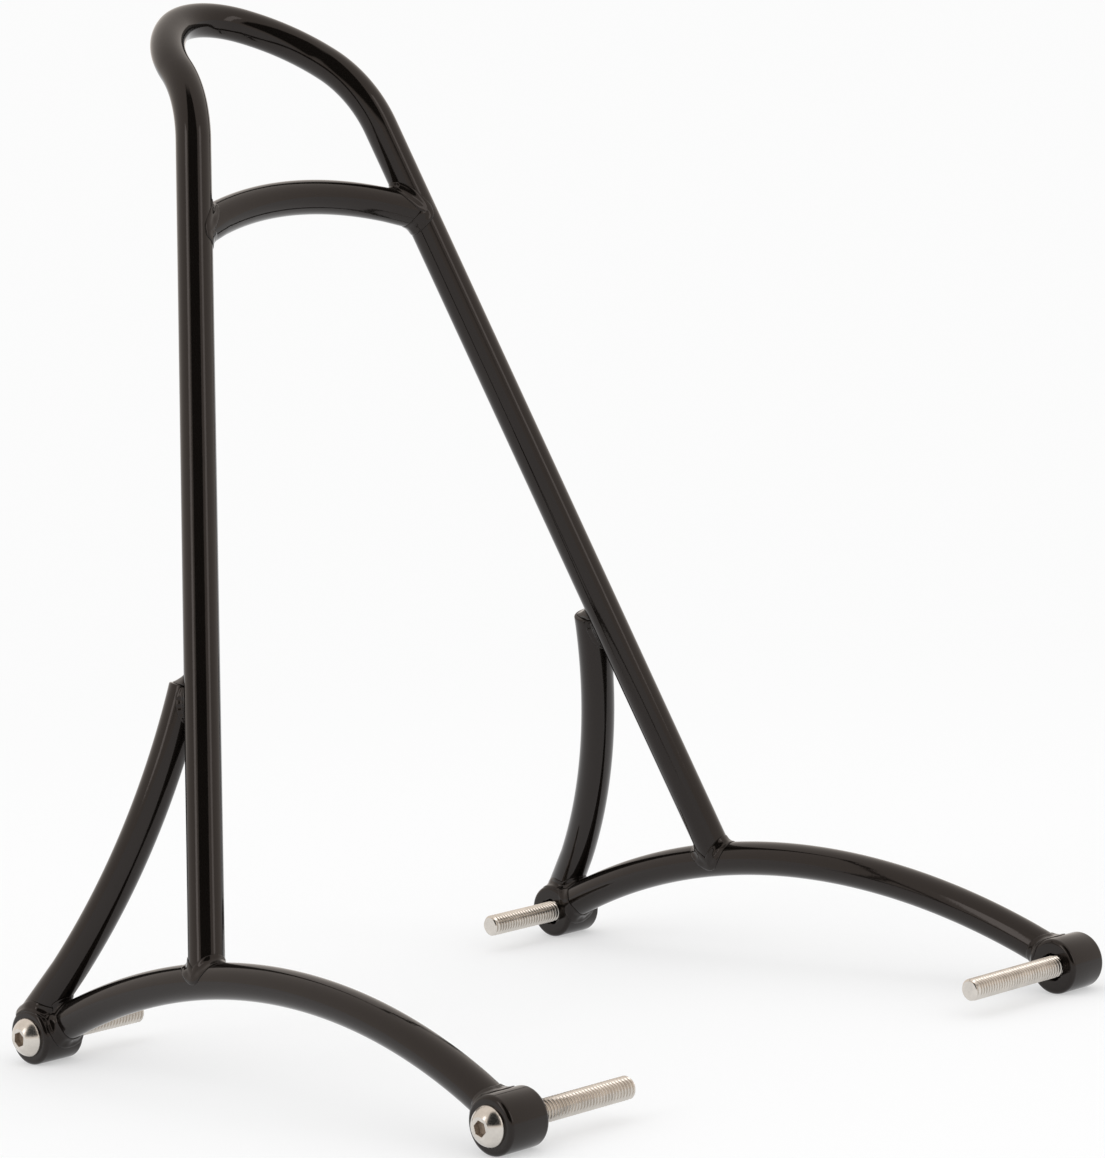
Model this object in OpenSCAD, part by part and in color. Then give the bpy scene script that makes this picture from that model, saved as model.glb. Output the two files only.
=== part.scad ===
// Motorcycle sissy bar: a bent round-bar hoop on two arched side rails,
// with a crossbar, two rear braces, four mounting bosses and their screws.
// X runs across the machine, +Y to its rear, +Z up. The left side is +X.
// The origin is under the middle of the footprint, level with the bosses' undersides.

/* [Bar] */
// Diameter of the round bar
bar_d = 12.7; // [11:0.1:14]
// Radius of the weld beads
bead_r = 3; // [2:0.1:4]

/* [Bosses] */
// Distance between the front and rear boss centrelines
boss_spacing = 241.5; // [225:0.5:260]
// Distance from the centre plane to the middle of a front boss
front_boss_x = 141.2; // [132:0.1:150]
// Distance from the centre plane to the middle of a rear boss
rear_boss_x = 131; // [122:0.1:140]
// Outer diameter of a boss
boss_d = 20; // [18:0.1:24]
// Length of a boss
boss_len = 17.5; // [16:0.1:24]
// Bore of a boss
boss_bore = 9.5; // [9:0.1:11]
// Rounding of the rims of a boss
boss_round = 1.6; // [0.5:0.1:2.5]

/* [Side rails] */
// Rise of a rail's arch above the line between its ends
rail_rise = 29.5; // [22:0.5:40]
// Lean of the arch towards the centre plane, in degrees
rail_lean = 9.4; // [0:0.2:18]
// How far a rail's front end stays from the inner end of its boss
rail_front_edge = 2.1; // [0.1:0.1:2.4]
// How far a rail's rear end stays from the inner end of its boss
rail_rear_edge = 0.4; // [0.1:0.1:2.4]

/* [Hoop] */
// Distance along the rail from its rear end to the foot of an upright
foot_from_rear = 90; // [70:1:120]
// Backward lean of the uprights, in degrees
lean_back = 14.7; // [8:0.1:20]
// Height of the kick's corner above the boss centrelines
kick_z = 325.3; // [300:0.5:360]
// Half the width of the hoop at the kick's corner
kick_half = 41.4; // [36:0.1:50]
// Bend radius of the kick
kick_r = 46.6; // [36:0.1:48]
// Slope of the kicked-back top loop, in degrees
loop_slope = 33.5; // [20:0.5:50]
// Half the width of the loop at the shoulder's corner
shoulder_half = 30.9; // [26:0.1:34]
// Distance up the loop from the kick's corner to the shoulder's corner
shoulder_run = 33.3; // [33:0.1:40]
// Bend radius of a shoulder
shoulder_r = 51; // [36:0.5:52]
// Distance up the loop from the shoulder's corner to the crown's corner
crown_run = 23.2; // [18:0.1:26]
// Bend radius of the crown
crown_r = 29; // [22:0.5:29.5]

/* [Crossbar] */
// Height of the crossbar's ends above the boss centrelines
crossbar_z = 276.7; // [240:0.5:285]
// Rise of the crossbar's arch
crossbar_rise = 12.4; // [6:0.1:18]
// Slope of the crossbar's arch, in degrees above straight back
crossbar_slope = 49.6; // [20:0.5:80]

/* [Braces] */
// Height of a brace's top end above the boss centrelines
brace_top_z = 122.6; // [105:0.5:145]
// Distance of a brace's top end behind the centreline of the upright
brace_top_back = 7.9; // [7.2:0.1:9.5]
// How far a brace's foot stays from the outer end of its boss
brace_foot_edge = 0.1; // [0.1:0.1:2.4]
// How far a brace's foot lies behind the boss centreline
brace_foot_back = 4.4; // [2:0.1:5]
// How far a brace's foot lies above the boss centreline
brace_foot_up = 4.6; // [2:0.1:5]
// Forward bow of a brace
brace_bow = 9.8; // [3:0.1:14]

/* [Screws] */
// Diameter over a screw's thread
screw_d = 7.94; // [7:0.01:8.5]
// Length of a front screw under its head
front_screw_len = 63.5; // [55:0.1:75]
// Length of a rear screw under its head
rear_screw_len = 50.8; // [45:0.1:65]
// Diameter of a button head
head_d = 13.9; // [13:0.1:15.5]
// Height of a button head
head_h = 4.2; // [3.5:0.1:4.8]
// Width across the flats of the hexagon socket
socket_af = 4.76; // [4:0.01:5.2]
// Depth of the hexagon socket
socket_deep = 2.6; // [2:0.1:2.8]
// Length of the chamfer at a screw's end
screw_chamfer = 0.8; // [0.4:0.1:1.5]

/* [Hidden] */
$fn = 64;

bar_r = bar_d / 2;
boss_r = boss_d / 2;
screw_r = screw_d / 2;
gloss_black = [0.06, 0.055, 0.05];
stainless = [0.78, 0.76, 0.72];

// Vector helpers
function unit(v) = v / norm(v);
function across(v, along) = v - along * (v * along);
function placing(at, x, z) =
  let (zc = unit(z), xc = unit(across(x, zc)), yc = cross(zc, xc))
  [[xc.x, yc.x, zc.x, at.x], [xc.y, yc.y, zc.y, at.y], [xc.z, yc.z, zc.z, at.z], [0, 0, 0, 1]];

// An arc from a to b that bulges by the length and direction of bulge,
// as [centre, radius, x direction, y direction, axis, angle]
function arc_of(a, b, bulge) =
  let (
    chord = norm(b - a),
    rise = norm(bulge),
    radius = (chord * chord / 4 + rise * rise) / (2 * rise),
    centre = (a + b) / 2 + unit(bulge) * (rise - radius),
    x_dir = unit(a - centre),
    axis = unit(cross(a - centre, b - centre))
  )
  [centre, radius, x_dir, cross(axis, x_dir), axis, 2 * asin(chord / 2 / radius)];
function arc_point(arc, ang) = arc[0] + arc[1] * (cos(ang) * arc[2] + sin(ang) * arc[3]);
function arc_outward(arc, ang) = cos(ang) * arc[2] + sin(ang) * arc[3];
function arc_angle(arc, len) = len / arc[1] * 180 / PI;

// Distances of a point from a line and from an arc's full circle
function from_line(p, a, b) = norm(across(p - a, unit(b - a)));
function from_arc(p, arc) =
  let (q = p - arc[0], h = q * arc[4])
  norm([h, norm(q - arc[4] * h) - arc[1]]);

// Places of the joints, on the left side, measured from the boss centrelines
front_boss = [front_boss_x, -boss_spacing / 2, 0];
rear_boss = [rear_boss_x, boss_spacing / 2, 0];
boss_spare = (boss_len - bar_d) / 2;
rail_front_in = boss_spare - rail_front_edge;
rail_rear_in = boss_spare - rail_rear_edge;
brace_foot_out = boss_spare - brace_foot_edge;
rail_rear_end = rear_boss - [rail_rear_in, 0, 0];
rail_front_end = front_boss - [rail_front_in, 0, 0];
rail_along = unit(rail_front_end - rail_rear_end);
rail_up = unit(across([-sin(rail_lean), 0, cos(rail_lean)], rail_along));
rail = arc_of(rail_rear_end, rail_front_end, rail_up * rail_rise);
foot = arc_point(rail, arc_angle(rail, foot_from_rear));

kick = [kick_half, foot.y + (kick_z - foot.z) * tan(lean_back), kick_z];
loop_dir = [0, cos(loop_slope), sin(loop_slope)];
shoulder = [shoulder_half, kick.y, kick.z] + shoulder_run * loop_dir;
crown = [0, shoulder.y, shoulder.z] + crown_run * loop_dir;
upright_dir = unit(kick - foot);
function on_upright(z) = foot + upright_dir * ((z - foot.z) / upright_dir.z);
function to_left(p) = [-p.x, p.y, p.z];

crossbar_left = on_upright(crossbar_z);
crossbar_bulge = crossbar_rise * [0, cos(crossbar_slope), sin(crossbar_slope)];
crossbar_arc = arc_of(crossbar_left, to_left(crossbar_left), crossbar_bulge);

brace_foot = rear_boss + [brace_foot_out, brace_foot_back, brace_foot_up];
brace_top = on_upright(brace_top_z) + [0, brace_top_back, 0];
brace_forward = unit(across([0, -1, 0], unit(brace_top - brace_foot)));
brace = arc_of(brace_foot, brace_top, brace_forward * brace_bow);

// The bends of the hoop. A bend takes no more of a straight than the bend before it leaves.
function bend_angle(a, v, b) = acos(unit(v - a) * unit(b - v));
function bend_reach(a, v, b, r) = r * tan(bend_angle(a, v, b) / 2);
function bend_limit(a, v, b, room) = room / tan(bend_angle(a, v, b) / 2);
kick_reach = bend_reach(foot, kick, shoulder, kick_r);
shoulder_room = norm(shoulder - kick) - kick_reach;
shoulder_bend = min(shoulder_r, bend_limit(kick, shoulder, crown, shoulder_room - 0.2));
shoulder_reach = bend_reach(kick, shoulder, crown, shoulder_bend);
crown_room = norm(crown - shoulder) - shoulder_reach;
crown_bend = min(crown_r, bend_limit(shoulder, crown, to_left(shoulder), crown_room - 0.2));
crown_reach = bend_reach(shoulder, crown, to_left(shoulder), crown_bend);
crown_mid = crown - loop_dir * (crown_bend / cos(bend_angle(shoulder, crown, to_left(shoulder)) / 2) - crown_bend);

// The whole part is moved so that its footprint is centred and its lowest point is at zero
rear_reach = crown_mid.y + bar_r;
front_reach = -boss_spacing / 2 - boss_r;
origin = [0, (rear_reach + front_reach) / 2, -boss_r];

module in_frame() translate(-origin) children();
module left_side() in_frame() children();
module right_side() in_frame() mirror([1, 0, 0]) children();

// Round bar: a straight between two points, a bend at a corner and a bent arc.
// A straight laps a little over the bends at its ends and is a hair thicker,
// so that straight and bend meet at a clean edge.
lap = 0.1;
lap_step = 0.01;
module straight(a, b)
  multmatrix(placing(a - unit(b - a) * lap, [0, 0.6, 0.8], b - a))
    cylinder(r = bar_r + lap_step, h = norm(b - a) + 2 * lap);
module bent(arc, d)
  multmatrix(placing(arc[0], arc[2], arc[4]))
    rotate_extrude(angle = arc[5], $fn = 300) translate([arc[1], 0]) circle(d = d);
module corner(a, v, b, r) {
  reach = bend_reach(a, v, b, r);
  from = v + unit(a - v) * reach;
  to = v + unit(b - v) * reach;
  along = unit(v - a);
  inward = unit(across(b - v, along));
  centre = from + inward * r;
  multmatrix(placing(centre, -inward, cross(-inward, along)))
    rotate_extrude(angle = bend_angle(a, v, b), $fn = 120) translate([r, 0]) circle(d = bar_d);
}

module upright_bar() straight(foot, kick + unit(foot - kick) * kick_reach);
module rail_bar() bent(rail, bar_d);
module brace_bar() bent(brace, bar_d);
module crossbar_bar() bent(crossbar_arc, bar_d);
module boss_round_bar(at) translate(at) rotate([0, 90, 0]) cylinder(d = boss_d, h = 2 * boss_len, center = true);

// One half of the hoop, up to the crown
module half_hoop() {
  difference() {
    upright_bar();
    rail_bar();
  }
  corner(foot, kick, shoulder, kick_r);
  straight(
    kick + unit(shoulder - kick) * kick_reach,
    shoulder + unit(kick - shoulder) * shoulder_reach
  );
  corner(kick, shoulder, crown, shoulder_bend);
  straight(
    shoulder + unit(crown - shoulder) * shoulder_reach,
    crown + unit(shoulder - crown) * crown_reach
  );
}

module hoop() color(gloss_black) in_frame() {
  half_hoop();
  mirror([1, 0, 0]) half_hoop();
  corner(shoulder, crown, to_left(shoulder), crown_bend);
}

module crossbar() color(gloss_black) in_frame() difference() {
  crossbar_bar();
  upright_bar();
  mirror([1, 0, 0]) upright_bar();
}

module side_rail() color(gloss_black) difference() {
  rail_bar();
  boss_round_bar(front_boss);
  boss_round_bar(rear_boss);
}

module side_brace() color(gloss_black) difference() {
  brace_bar();
  boss_round_bar(rear_boss);
  rail_bar();
  upright_bar();
}

// A boss is a turned sleeve with rounded rims
module boss(at) color(gloss_black) translate(at) rotate([0, 90, 0]) rotate_extrude() difference() {
  union() {
    translate([boss_bore / 2, -boss_len / 2]) square([boss_r - boss_round - boss_bore / 2, boss_len]);
    translate([boss_bore / 2, boss_round - boss_len / 2]) square([boss_r - boss_bore / 2, boss_len - 2 * boss_round]);
    for (end = [-1, 1])
      translate([boss_r - boss_round, end * (boss_len / 2 - boss_round)]) circle(r = boss_round);
  }
}

// A button-head screw, pointing to the centre plane, seated on the boss's outer face.
// The thread's fine turns are left out.
// The head's dome is a part of a sphere that ends in a short upright rim.
rim_share = 0.12;
flat_share = 0.27;
head_rim = head_h * rim_share;
dome_h = head_h - head_rim;
dome_flat = head_d * flat_share;
dome_r = norm([head_d / 2, ((pow(head_d / 2, 2) - pow(dome_flat, 2) - dome_h * dome_h) / (2 * dome_h))]);
dome_drop = sqrt(dome_r * dome_r - pow(head_d / 2, 2));
module screw(at, len) color(stainless) translate(at + [boss_len / 2, 0, 0]) rotate([0, -90, 0]) {
  cylinder(d = screw_d, h = len - screw_chamfer);
  translate([0, 0, len - screw_chamfer])
    cylinder(r1 = screw_r, r2 = screw_r - screw_chamfer, h = screw_chamfer);
  mirror([0, 0, 1]) difference() {
    intersection() {
      cylinder(d = head_d, h = head_h);
      translate([0, 0, head_rim - dome_drop]) sphere(r = dome_r);
    }
    translate([0, 0, head_h - socket_deep]) cylinder(d = socket_af / cos(30), h = head_h, $fn = 6);
  }
}

// Weld beads. A bead fills the groove between the skins of two bars. Along the line where the
// skins meet it has a ring of points: the root in the groove, two points on each skin,
// and a crown that bulges and ripples.
bead_steps = 36;
bead_ring = 8;
bead_lift = 0.04;
bead_ripple = 0.12;
bead_height = 1.3;
bead_crown = 0.22;
bead_cheek = 0.07;
root_lift = 1.5 * bead_lift;
ripple_steps = 3;
taper_steps = 4;
function bead_reach(i) = bead_r * (1 + bead_ripple * cos(360 * i / ripple_steps));

// Signed distances of a point from the bars' and bosses' skins
function off_rail(p) = from_arc(p, rail) - bar_r;
function off_brace(p) = from_arc(p, brace) - bar_r;
function off_crossbar(p) = from_arc(p, crossbar_arc) - bar_r;
function off_upright(p) = from_line(p, foot, kick) - bar_r;
function off_boss(p, at) =
  let (
    out = norm([p.y - at.y, p.z - at.z]) - boss_r + boss_round,
    end = abs(p.x - at.x) - boss_len / 2 + boss_round
  )
  norm([max(out, 0), max(end, 0)]) + min(max(out, end), 0) - boss_round;

// The way straight off a skin, and the point of the skin below p
probe = 0.02;
function slope(gap, p) =
  unit([for (step = [[probe, 0, 0], [0, probe, 0], [0, 0, probe]]) gap(p + step) - gap(p - step)]);
function drop_on(gap, p) = p - (gap(p) - bead_lift) * slope(gap, p);
function on_skin(gap, p) = drop_on(gap, drop_on(gap, p));

// The place along a bar, between low and high, where its skin leaves the other bar
function leaving(skin, gap, low, high, tries = 20) =
  tries == 0 ? (low + high) / 2 :
  let (mid = (low + high) / 2)
  gap(skin(mid)) > 0 ? leaving(skin, gap, low, mid, tries - 1) : leaving(skin, gap, mid, high, tries - 1);

// The line round a bar's end where its skin meets the other bar, and how far it is looked for
upright_search = 3 * bar_d;
crossbar_search = 2.5 * bar_d;
rail_search = 2.5 * boss_d;
brace_search = 4 * bar_d;
function turn_at(i, start) = start + 360 * i / bead_steps;
function seam_of_line(a, dir, gap) =
  let (u = unit(across([1, 0, 0], dir)), v = cross(dir, u))
  [for (i = [0:bead_steps - 1])
    let (
      turn = turn_at(i, 0),
      skin = function (s) a + bar_r * (cos(turn) * u + sin(turn) * v) + s * dir
    )
    skin(leaving(skin, gap, 0, upright_search))];
function seam_of_arc(arc, low, high, gap, start = 0) =
  [for (i = [0:bead_steps - 1])
    let (
      turn = turn_at(i, start),
      skin = function (ang)
        arc_point(arc, ang) + bar_r * (cos(turn) * arc_outward(arc, ang) + sin(turn) * arc[4])
    )
    skin(leaving(skin, gap, low, high))];

// One ring of a bead at a point of the seam, reaching out of the groove along the way out
function bead_section(at, out, reach, gap_a, gap_b) =
  let (
    tip = at + bead_height * reach * out,
    root = at + root_lift * out,
    toe_a = on_skin(gap_a, tip),
    toe_b = on_skin(gap_b, tip),
    crown = (toe_a + toe_b) / 2 + bead_crown * reach * out,
    cheek = bead_cheek * reach * out
  )
  [
    root, on_skin(gap_a, (root + toe_a) / 2), toe_a, (toe_a + crown) / 2 + cheek,
    crown, (toe_b + crown) / 2 + cheek, toe_b, on_skin(gap_b, (root + toe_b) / 2)
  ];
function groove_out(p, gap_a, gap_b) = unit(slope(gap_a, p) + slope(gap_b, p));

// The faces between neighbouring rings, turned to point outwards
function wall(a, b, turned) =
  [for (j = [0:bead_ring - 1])
    let (k = (j + 1) % bead_ring, f = [a + j, a + k, b + k, b + j])
    turned ? [f[3], f[2], f[1], f[0]] : f];
function runs_back(rings) =
  let (r = rings[0], centre = (r[2] + r[6]) / 2)
  cross(r[2] - r[0], r[6] - r[0]) * (rings[1][0] - r[0]) < 0;

module closed_bead(seam, gap_a, gap_b) {
  n = len(seam);
  rings = [for (i = [0:n - 1])
    bead_section(seam[i], groove_out(seam[i], gap_a, gap_b), bead_reach(i), gap_a, gap_b)];
  turned = !runs_back(rings);
  faces = [for (i = [0:n - 1]) each wall(i * bead_ring, ((i + 1) % n) * bead_ring, turned)];
  polyhedron([for (r = rings) each r], faces, convexity = 6);
}
module open_bead(seam, outs, gap_a, gap_b) {
  n = len(seam);
  rings = [for (i = [0:n - 1])
    let (taper = sqrt(min(1, (min(i, n - 1 - i) + 0.5) / taper_steps)))
    bead_section(seam[i], outs[i], bead_reach(i) * taper, gap_a, gap_b)];
  turned = !runs_back(rings);
  ones = [for (j = [1:bead_ring]) 1 / bead_ring];
  first = n * bead_ring;
  last = (n - 1) * bead_ring;
  caps = [for (j = [0:bead_ring - 1])
    let (k = (j + 1) % bead_ring)
    each turned ? [[first, j, k], [first + 1, last + k, last + j]] : [[first, k, j], [first + 1, last + j, last + k]]];
  faces = [for (i = [0:n - 2]) each wall(i * bead_ring, (i + 1) * bead_ring, turned), each caps];
  polyhedron([for (r = rings) each r, ones * rings[0], ones * rings[n - 1]], faces, convexity = 6);
}

module foot_weld() color(gloss_black)
  let (gap_a = function (p) off_upright(p), gap_b = function (p) off_rail(p))
    closed_bead(seam_of_line(foot, upright_dir, gap_b), gap_a, gap_b);

module crossbar_weld() color(gloss_black)
  let (
    gap_a = function (p) off_crossbar(p),
    gap_b = function (p) off_upright(p),
    reach = arc_angle(crossbar_arc, crossbar_search)
  )
    closed_bead(seam_of_arc(crossbar_arc, 0, reach, gap_b), gap_a, gap_b);

module rail_front_weld() color(gloss_black)
  let (
    gap_a = function (p) off_rail(p),
    gap_b = function (p) off_boss(p, front_boss),
    reach = arc_angle(rail, rail_search)
  )
    closed_bead(seam_of_arc(rail, rail[5], rail[5] - reach, gap_b), gap_a, gap_b);

// The bead at a rail's rear end stops short of the brace on both sides
rear_turn = 45;
rear_clear = 1.4 * bead_r;
module rail_rear_weld() color(gloss_black)
  let (
    gap_a = function (p) off_rail(p),
    gap_b = function (p) off_boss(p, rear_boss),
    reach = arc_angle(rail, rail_search),
    round = seam_of_arc(rail, 0, reach, gap_b, rear_turn),
    clear = [for (p = round) if (off_brace(p) > rear_clear) p]
  )
    open_bead(clear, [for (p = clear) groove_out(p, gap_a, gap_b)], gap_a, gap_b);

module brace_foot_weld() color(gloss_black)
  let (
    gap_a = function (p) off_brace(p),
    gap_b = function (p) min(off_boss(p, rear_boss), off_rail(p)),
    reach = arc_angle(brace, brace_search)
  )
    closed_bead(seam_of_arc(brace, 0, reach, gap_b), gap_a, gap_b);

// The brace's top lies along the back of the upright. Its bead runs down one side of the lap,
// round the heel and up the other side.
lap_steps = 36;
lap_end = 0.985;
lap_turn_in = 1.4;
lap_top = brace[5] * lap_end;
lap_heel = leaving(
  function (ang) arc_point(brace, ang),
  function (p) bar_d - from_line(p, foot, kick),
  0,
  lap_top
);
// A point of the lap at u, from -1 at one top end through 0 at the heel to 1,
// as [place, way out of the groove]
function lap_point(u) =
  let (
    on_brace = arc_point(brace, lap_top + (lap_heel - lap_top) * (1 - u * u)),
    on_axis = foot + upright_dir * ((on_brace - foot) * upright_dir),
    half = norm(on_brace - on_axis) / 2,
    spread = sqrt(max(0, bar_r * bar_r - half * half)),
    aside = sign(u) * unit(cross(upright_dir, on_brace - on_axis)),
    share = min(1, lap_turn_in * spread / bar_r)
  )
  [(on_brace + on_axis) / 2 + spread * aside, unit(share * aside - (1 - share) * upright_dir)];
module brace_top_weld() color(gloss_black)
  let (
    lap = [for (i = [0:lap_steps]) lap_point(2 * i / lap_steps - 1)],
    gap_a = function (p) off_brace(p),
    gap_b = function (p) off_upright(p)
  )
    open_bead([for (l = lap) l[0]], [for (l = lap) l[1]], gap_a, gap_b);

hoop();
crossbar();
left_side() side_rail();  // left_rail
right_side() side_rail();  // right_rail
left_side() side_brace();  // left_brace
right_side() side_brace();  // right_brace
left_side() boss(front_boss);  // front_left_boss
right_side() boss(front_boss);  // front_right_boss
left_side() boss(rear_boss);  // rear_left_boss
right_side() boss(rear_boss);  // rear_right_boss
left_side() screw(front_boss, front_screw_len);  // front_left_screw
right_side() screw(front_boss, front_screw_len);  // front_right_screw
left_side() screw(rear_boss, rear_screw_len);  // rear_left_screw
right_side() screw(rear_boss, rear_screw_len);  // rear_right_screw
left_side() foot_weld();  // left_foot_weld
right_side() foot_weld();  // right_foot_weld
left_side() crossbar_weld();  // left_crossbar_weld
right_side() crossbar_weld();  // right_crossbar_weld
left_side() brace_top_weld();  // left_brace_top_weld
right_side() brace_top_weld();  // right_brace_top_weld
left_side() brace_foot_weld();  // left_brace_foot_weld
right_side() brace_foot_weld();  // right_brace_foot_weld
left_side() rail_rear_weld();  // left_rail_rear_weld
right_side() rail_rear_weld();  // right_rail_rear_weld
left_side() rail_front_weld();  // left_rail_front_weld
right_side() rail_front_weld();  // right_rail_front_weld
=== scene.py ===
"""Blender scene of the sissy bar: the bent bars, bosses, screws and weld beads with
their finishes, and the studio that they are shown in. Lengths are in metres and angles in
radians, but the settings below give their defaults in millimetres and degrees."""
import math

import bmesh
import bpy
from bmesh.types import BMEdge, BMVert
from bpy.props import FloatProperty, FloatVectorProperty, IntProperty, PointerProperty
from bpy.types import Operator, Panel, PropertyGroup
from mathutils import Matrix, Vector


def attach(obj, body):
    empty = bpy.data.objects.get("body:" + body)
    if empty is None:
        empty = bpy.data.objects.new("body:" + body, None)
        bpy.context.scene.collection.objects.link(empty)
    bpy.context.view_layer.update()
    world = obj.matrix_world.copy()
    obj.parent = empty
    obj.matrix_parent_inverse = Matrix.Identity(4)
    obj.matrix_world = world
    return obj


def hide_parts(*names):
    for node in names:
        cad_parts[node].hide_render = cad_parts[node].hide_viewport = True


bl_info = {
    "name": "Sissy bar",
    "version": (1, 0),
    "blender": (4, 5, 0),
    "location": "3D View > Sidebar > Sissy bar",
    "description": "Builds a bent round-bar sissy bar with its bosses, screws and welds",
    "category": "Object",
}

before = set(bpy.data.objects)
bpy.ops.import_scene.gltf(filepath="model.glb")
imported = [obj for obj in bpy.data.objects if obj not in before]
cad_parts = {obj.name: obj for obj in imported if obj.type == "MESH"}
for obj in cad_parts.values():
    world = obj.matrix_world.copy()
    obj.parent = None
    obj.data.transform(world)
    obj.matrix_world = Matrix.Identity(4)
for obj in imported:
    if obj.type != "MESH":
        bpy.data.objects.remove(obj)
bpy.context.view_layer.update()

SIDES = {"left": 1, "right": -1}
MM = 0.001
X_AXIS, Y_AXIS, Z_AXIS = Vector((1, 0, 0)), Vector((0, 1, 0)), Vector((0, 0, 1))

# How finely the pieces are drawn
STRAIGHT_STEP = 12 * MM
BEND_STEPS, LEAST_BEND_STEPS = 60, 12  # for each radian, and for each bend
CROSSBAR_STEPS, RAIL_STEPS, BRACE_STEPS = 60, 110, 90
TIP_TURNS = (0, 30, 60, 90)  # degrees round the edge of a brace's cut tip
BOSS_STEPS, RIM_STEPS = 96, 8
HEAD_STEPS, DOME_STEPS, THREAD_STEPS = 96, 14, 48
TAPER_STEPS = 6  # sections in which an open bead grows to its size

# Rounds of the searches for a place on a skin
COPE_ROUNDS, HALVINGS, TOE_ROUNDS, COVER_ROUNDS = 60, 26, 3, 2

# Shares of a button head's height and diameter, and of the thread's pitch
RIM_SHARE, FLAT_SHARE, THREAD_DEPTH = 0.12, 0.27, 0.6134


def length(name, text, default):
    return FloatProperty(name=name, description=text, default=default * MM, min=0,
                         precision=5, subtype="DISTANCE", unit="LENGTH")


def angle(name, text, default):
    return FloatProperty(name=name, description=text, default=math.radians(default),
                         subtype="ANGLE", unit="ROTATION")


def number(name, text, default):
    return FloatProperty(name=name, description=text, default=default)


def whole(name, text, default):
    return IntProperty(name=name, description=text, default=default)


def shade(name, text, default):
    return FloatVectorProperty(name=name, description=text, default=default, size=3,
                               subtype="COLOR")


# Settings

class SissyBars(PropertyGroup):
    """The bent bars. Heights are above the boss centrelines."""
    bar_d: length("Bar diameter", "Diameter of the round bar", 12.7)
    rail_rise: length("Rail rise", "Rise of a rail's arch above the line between its ends", 29.5)
    rail_lean: angle("Rail lean", "Lean of the arch towards the centre plane", 9.4)
    rail_front_edge: length("Rail front edge", "From a rail's front end to its boss's end", 2.1)
    rail_rear_edge: length("Rail rear edge", "From a rail's rear end to its boss's end", 0.4)
    foot_from_rear: length("Foot distance", "Distance of the hoop's foot along the rail", 90)
    lean_back: angle("Lean back", "Backward lean of the uprights", 14.7)
    kick_z: length("Kick height", "Height of the kick's corner", 325.3)
    kick_half: length("Kick half width", "Half the hoop's width at the kick's corner", 41.4)
    kick_r: length("Kick radius", "Bend radius of the kick", 46.6)
    loop_slope: angle("Loop slope", "Slope of the kicked-back top loop", 33.5)
    shoulder_half: length("Shoulder half width", "Half the loop's width at the shoulder", 30.9)
    shoulder_run: length("Shoulder run", "Distance from the kick to the shoulder", 33.3)
    shoulder_r: length("Shoulder radius", "Largest bend radius of a shoulder", 51)
    crown_run: length("Crown run", "Distance from the shoulder to the crown", 23.2)
    crown_r: length("Crown radius", "Largest bend radius of the crown", 29)
    bend_gap: length("Bend gap", "Least straight between two bends", 0.2)
    crossbar_z: length("Crossbar height", "Height of the crossbar's ends", 276.7)
    crossbar_rise: length("Crossbar rise", "Rise of the crossbar's arch", 12.4)
    crossbar_slope: angle("Crossbar slope", "Slope of the crossbar's arch", 49.6)
    brace_top_z: length("Brace top height", "Height of a brace's top end", 122.6)
    brace_top_back: length("Brace top offset", "Distance behind the upright's centreline", 7.9)
    brace_foot_edge: length("Brace foot edge", "From a brace's foot to its boss's outer end", 0.1)
    brace_foot_back: length("Brace foot back", "Offset of a brace's foot behind the boss", 4.4)
    brace_foot_up: length("Brace foot up", "Offset of a brace's foot above the boss", 4.6)
    brace_bow: length("Brace bow", "Forward bow of a brace", 9.8)
    tip_round: length("Tip edge", "Rounding of a brace's cut tip", 0.5)
    ring_steps: whole("Bar sides", "Sides of a bar's section", 64)


class SissyMounts(PropertyGroup):
    """The bosses and screws."""
    boss_spacing: length("Boss spacing", "Distance between front and rear bosses", 241.5)
    front_boss_x: length("Front boss offset", "From the centre plane to a front boss", 141.2)
    rear_boss_x: length("Rear boss offset", "From the centre plane to a rear boss", 131)
    boss_d: length("Boss diameter", "Outer diameter of a boss", 20)
    boss_len: length("Boss length", "Length of a boss", 17.5)
    boss_bore: length("Boss bore", "Bore of a boss", 9.5)
    boss_round: length("Boss rim", "Rounding of a boss's rims", 1.6)
    bore_edge: length("Bore edge", "Chamfer of a bore", 0.4)
    screw_d: length("Screw diameter", "Diameter over a screw's thread", 7.94)
    thread_pitch: length("Thread pitch", "Pitch of the thread", 1.411)
    front_screw_len: length("Front screw", "Length of a front screw under its head", 63.5)
    rear_screw_len: length("Rear screw", "Length of a rear screw under its head", 50.8)
    head_d: length("Head diameter", "Diameter of a button head", 13.9)
    head_h: length("Head height", "Height of a button head", 4.2)
    socket_af: length("Socket size", "Width across the flats of the hexagon socket", 4.76)
    socket_deep: length("Socket depth", "Depth of the hexagon socket", 2.6)
    screw_chamfer: length("Screw chamfer", "Chamfer at a screw's end", 0.8)
    socket_edge: length("Socket edge", "Chamfer of the socket's mouth", 0.12)
    socket_cone: length("Socket cone", "Depth of the drill's cone in the socket", 0.5)
    grip: length("Shank in the boss", "Length of the plain shank inside the boss", 15)


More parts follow.
